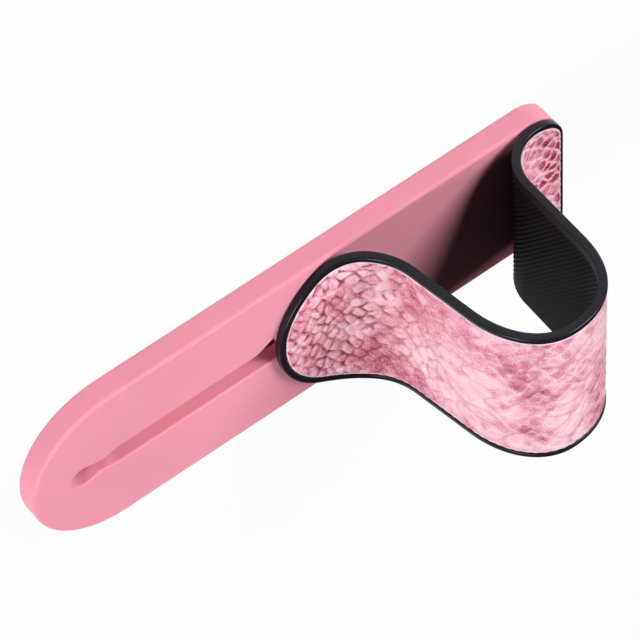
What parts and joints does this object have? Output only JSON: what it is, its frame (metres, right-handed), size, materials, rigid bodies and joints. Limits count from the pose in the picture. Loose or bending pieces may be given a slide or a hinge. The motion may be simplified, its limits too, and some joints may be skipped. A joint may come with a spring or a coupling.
{
  "type": "phone finger strap",
  "caption": "Flat stick-on bar with rounded ends and a long slot, carrying an arched rubber finger strap with a snakeskin-look face; the slotted end slides to lay the strap flat.",
  "frame": {"origin": "middle of the footprint, on the adhesive pad's outer face", "axes": "+X along the bar from the slotted end to the fixed end, +Y across the bar, +Z out of the front face towards the strap's crown"},
  "size_m": [0.08, 0.0262, 0.0308],
  "materials": {
    "bar_plastic": "soft satin",
    "pad_foam": "matt foam",
    "strap_rubber": "satin moulded",
    "skin_leather": "satin snakeskin grain",
    "slider_plastic": "satin"
  },
  "bodies": {
    "bar": {"base_bar": "bar_plastic", "channel_cover": "bar_plastic", "adhesive_pad": "pad_foam", "strap_body": "strap_rubber", "strap_skin": "skin_leather", "anchor_stud": "slider_plastic"},
    "slider": {"slider_shoe": "slider_plastic"}
  },
  "joints": [
    {"name": "slot_slide", "type": "slide", "parent": "bar", "child": "slider", "axis": [1, 0, 0], "range_m": [-0.0328, 0], "deforming": ["strap_body", "strap_skin"]}
  ]
}
